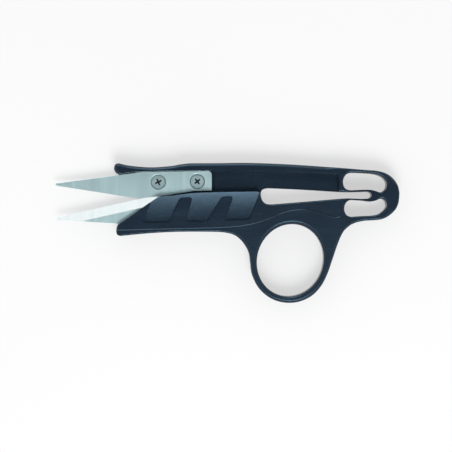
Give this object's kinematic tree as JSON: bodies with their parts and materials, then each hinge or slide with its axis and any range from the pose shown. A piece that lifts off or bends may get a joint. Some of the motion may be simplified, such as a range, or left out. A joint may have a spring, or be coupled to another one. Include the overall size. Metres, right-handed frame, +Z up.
{
  "type": "thread snips",
  "caption": "Spring-handled thread snips: two pointed steel blades screwed to a sprung plastic handle with a finger ring.",
  "frame": {"origin": "under the middle of the snips as they lie on their back, on the table", "axes": "+X from the blade tips to the spring bow, +Y towards the thumb side, +Z up out of the table"},
  "size_m": [0.12, 0.0489, 0.01],
  "materials": {
    "handle_plastic": "satin, very dark blue-grey, finely grained",
    "blade_steel": "ground across the blade, bevel polished",
    "screw_steel": "bright, turned heads",
    "insert_brass": "turned"
  },
  "bodies": {
    "bow": {"rear_bow": "handle_plastic", "upper_outer_leaf": "handle_plastic", "upper_inner_leaf": "handle_plastic", "lower_inner_leaf": "handle_plastic", "lower_outer_leaf": "handle_plastic"},
    "thumb_arm": {"upper_arm": "handle_plastic", "upper_blade": "blade_steel", "upper_front_screw": "screw_steel", "upper_rear_screw": "screw_steel", "upper_front_insert": "insert_brass", "upper_rear_insert": "insert_brass"},
    "ring_arm": {"lower_arm": "handle_plastic", "finger_ring": "handle_plastic", "lower_blade": "blade_steel", "lower_front_screw": "screw_steel", "lower_rear_screw": "screw_steel", "lower_front_insert": "insert_brass", "lower_rear_insert": "insert_brass"}
  },
  "joints": [
    {"name": "thumb_squeeze", "type": "hinge", "parent": "bow", "child": "thumb_arm", "pos_m": [0.046, 0.0146, 0.005], "axis": [0, 0, 1], "range_deg": [0, 3.2], "stiffness_Nm_per_rad": 3, "deforming": ["upper_outer_leaf", "upper_inner_leaf"]},
    {"name": "ring_squeeze", "type": "hinge", "parent": "bow", "child": "ring_arm", "pos_m": [0.046, 0.0116, 0.005], "axis": [0, 0, -1], "range_deg": [0, 3.2], "stiffness_Nm_per_rad": 3, "deforming": ["lower_inner_leaf", "lower_outer_leaf"]}
  ],
  "couplings": [
    {"joint": "thumb_squeeze", "follows": "ring_squeeze", "ratio": 1}
  ]
}
